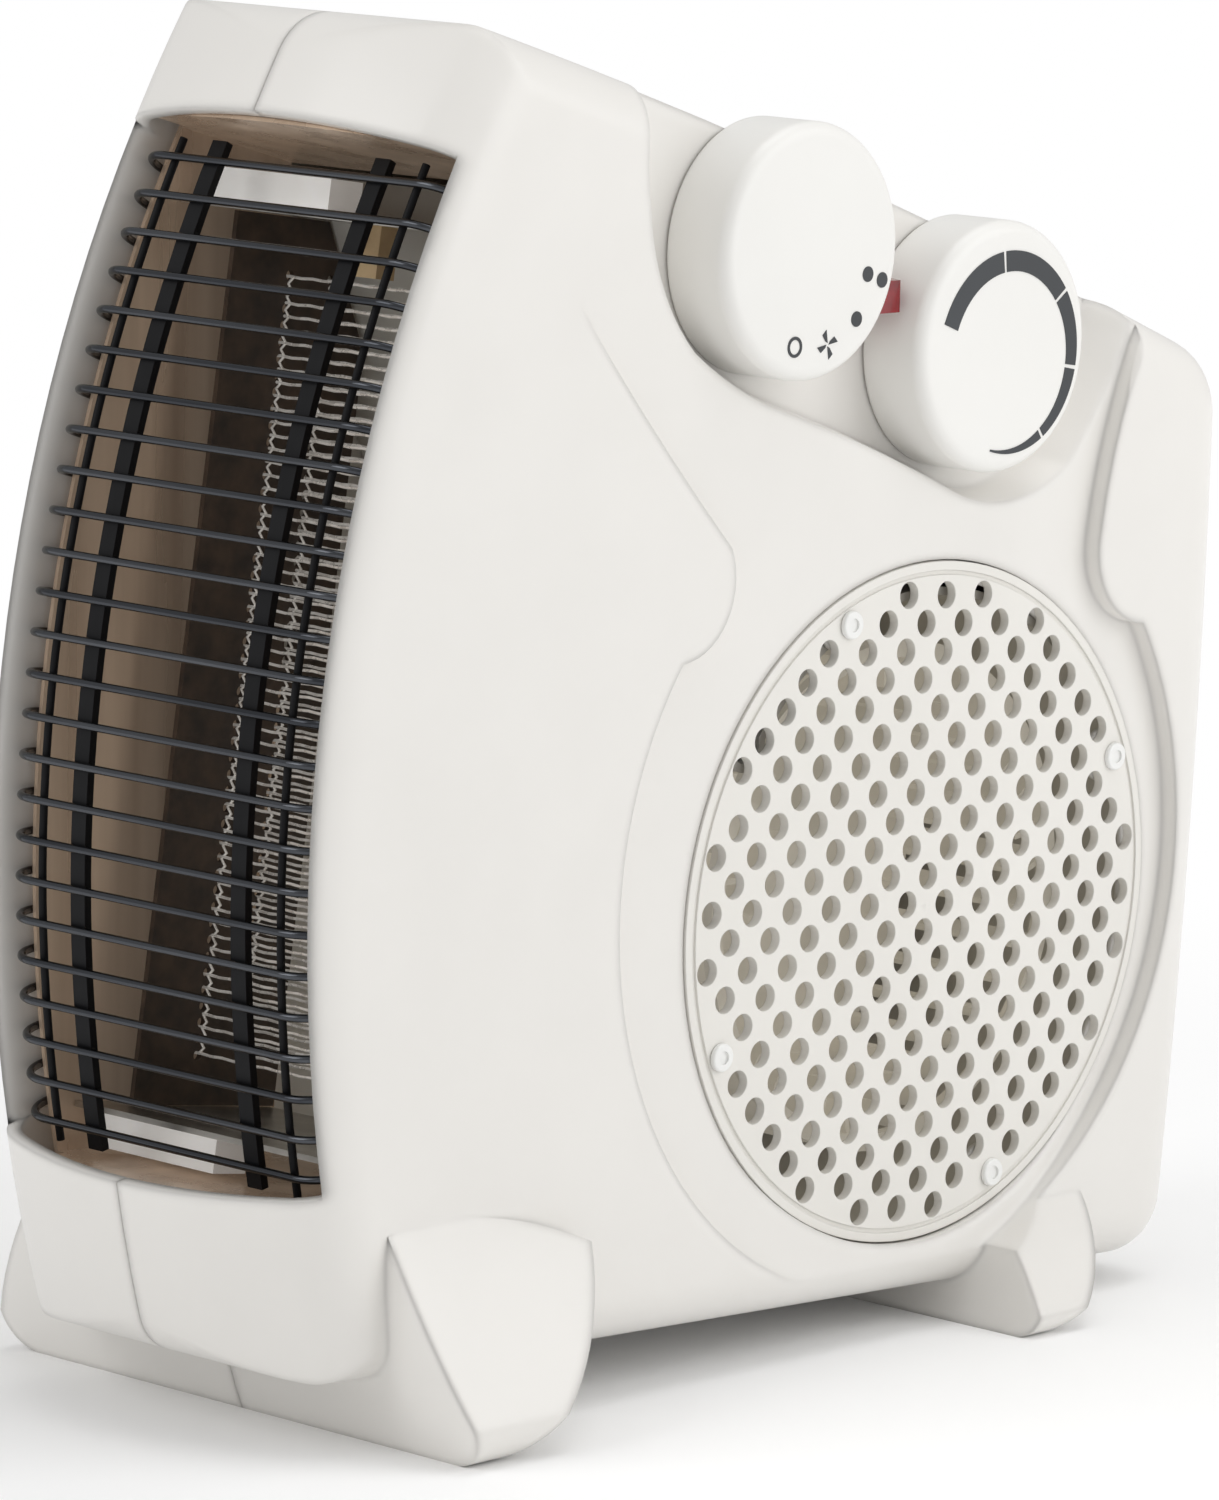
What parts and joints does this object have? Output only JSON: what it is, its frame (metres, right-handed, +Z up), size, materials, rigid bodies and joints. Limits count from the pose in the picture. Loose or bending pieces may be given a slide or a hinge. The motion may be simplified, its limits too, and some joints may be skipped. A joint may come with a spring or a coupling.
{
  "type": "fan heater",
  "caption": "Upright domestic fan heater with a tall curved outlet behind a wire guard, a round perforated side intake, control knobs on a recessed shelf and moulded feet.",
  "frame": {"origin": "on the floor under the middle of the body", "axes": "+Z up, the outlet faces -Y, the knob side faces +X"},
  "size_m": [0.117, 0.2372, 0.2372],
  "materials": {
    "shell_plastic": "satin moulded",
    "grille_plastic": "satin",
    "rivet_plastic": "satin",
    "guard_wire": "bright drawn wire",
    "guard_upright": "black",
    "liner_sheet": "polished",
    "mica": "mica board",
    "heating_wire": "oxidised",
    "bracket_steel": "zinc plated",
    "element_ceramic": "unglazed",
    "cutout_body": "unglazed",
    "inner_plastic": "moulded",
    "motor_steel": "laminated",
    "coil_tape": "taped winding",
    "screw_steel": "zinc plated",
    "lamp_red": "clear red",
    "lamp_glass": "clear",
    "bush_rubber": "soft moulded",
    "lead_sleeve": "woven sleeve",
    "fan_plastic": "moulded",
    "knob_plastic": "satin moulded"
  },
  "bodies": {
    "body": {"right_shell": "shell_plastic", "left_shell": "shell_plastic", "intake_grille": "grille_plastic", "grille_rivets": "rivet_plastic", "guard_wires": "guard_wire", "guard_uprights": "guard_upright", "duct_liner": "liner_sheet", "mica_board_left": "mica", "mica_board_right": "mica", "heating_wire_front": "heating_wire", "heating_wire_rear": "heating_wire", "element_bracket_upper": "bracket_steel", "element_bracket_lower": "bracket_steel", "ceramic_block_upper": "element_ceramic", "ceramic_block_lower": "element_ceramic", "thermal_cutout": "cutout_body", "fan_scroll": "inner_plastic", "motor_stack": "motor_steel", "motor_coil": "coil_tape", "motor_bracket_rear": "bracket_steel", "motor_bracket_front": "bracket_steel", "motor_screws": "screw_steel", "mode_switch": "inner_plastic", "thermostat": "inner_plastic", "pilot_lens": "lamp_red", "neon_lamp": "lamp_glass", "cord_inlet_bush": "bush_rubber", "cord_clamp": "inner_plastic", "clamp_screws": "screw_steel", "terminal_block": "inner_plastic", "lead_thermostat": "lead_sleeve", "lead_switch": "lead_sleeve", "lead_motor": "lead_sleeve", "shell_screws": "screw_steel"},
    "fan": {"impeller": "fan_plastic", "fan_shaft": "screw_steel", "motor_rotor": "motor_steel"},
    "mode_control": {"mode_spindle": "inner_plastic", "mode_knob": "knob_plastic"},
    "thermostat_control": {"thermostat_spindle": "inner_plastic", "thermostat_knob": "knob_plastic"}
  },
  "joints": [
    {"name": "fan_spin", "type": "hinge", "parent": "body", "child": "fan", "pos_m": [0, 0.03966, 0.0782], "axis": [1, 0, 0], "continuous": true},
    {"name": "mode_turn", "type": "hinge", "parent": "body", "child": "mode_control", "pos_m": [0.03, -0.00034, 0.1966], "axis": [1, 0, 0], "range_deg": [-135, 0]},
    {"name": "thermostat_turn", "type": "hinge", "parent": "body", "child": "thermostat_control", "pos_m": [0.03, 0.05056, 0.1771], "axis": [1, 0, 0], "range_deg": [-270, 0]}
  ]
}
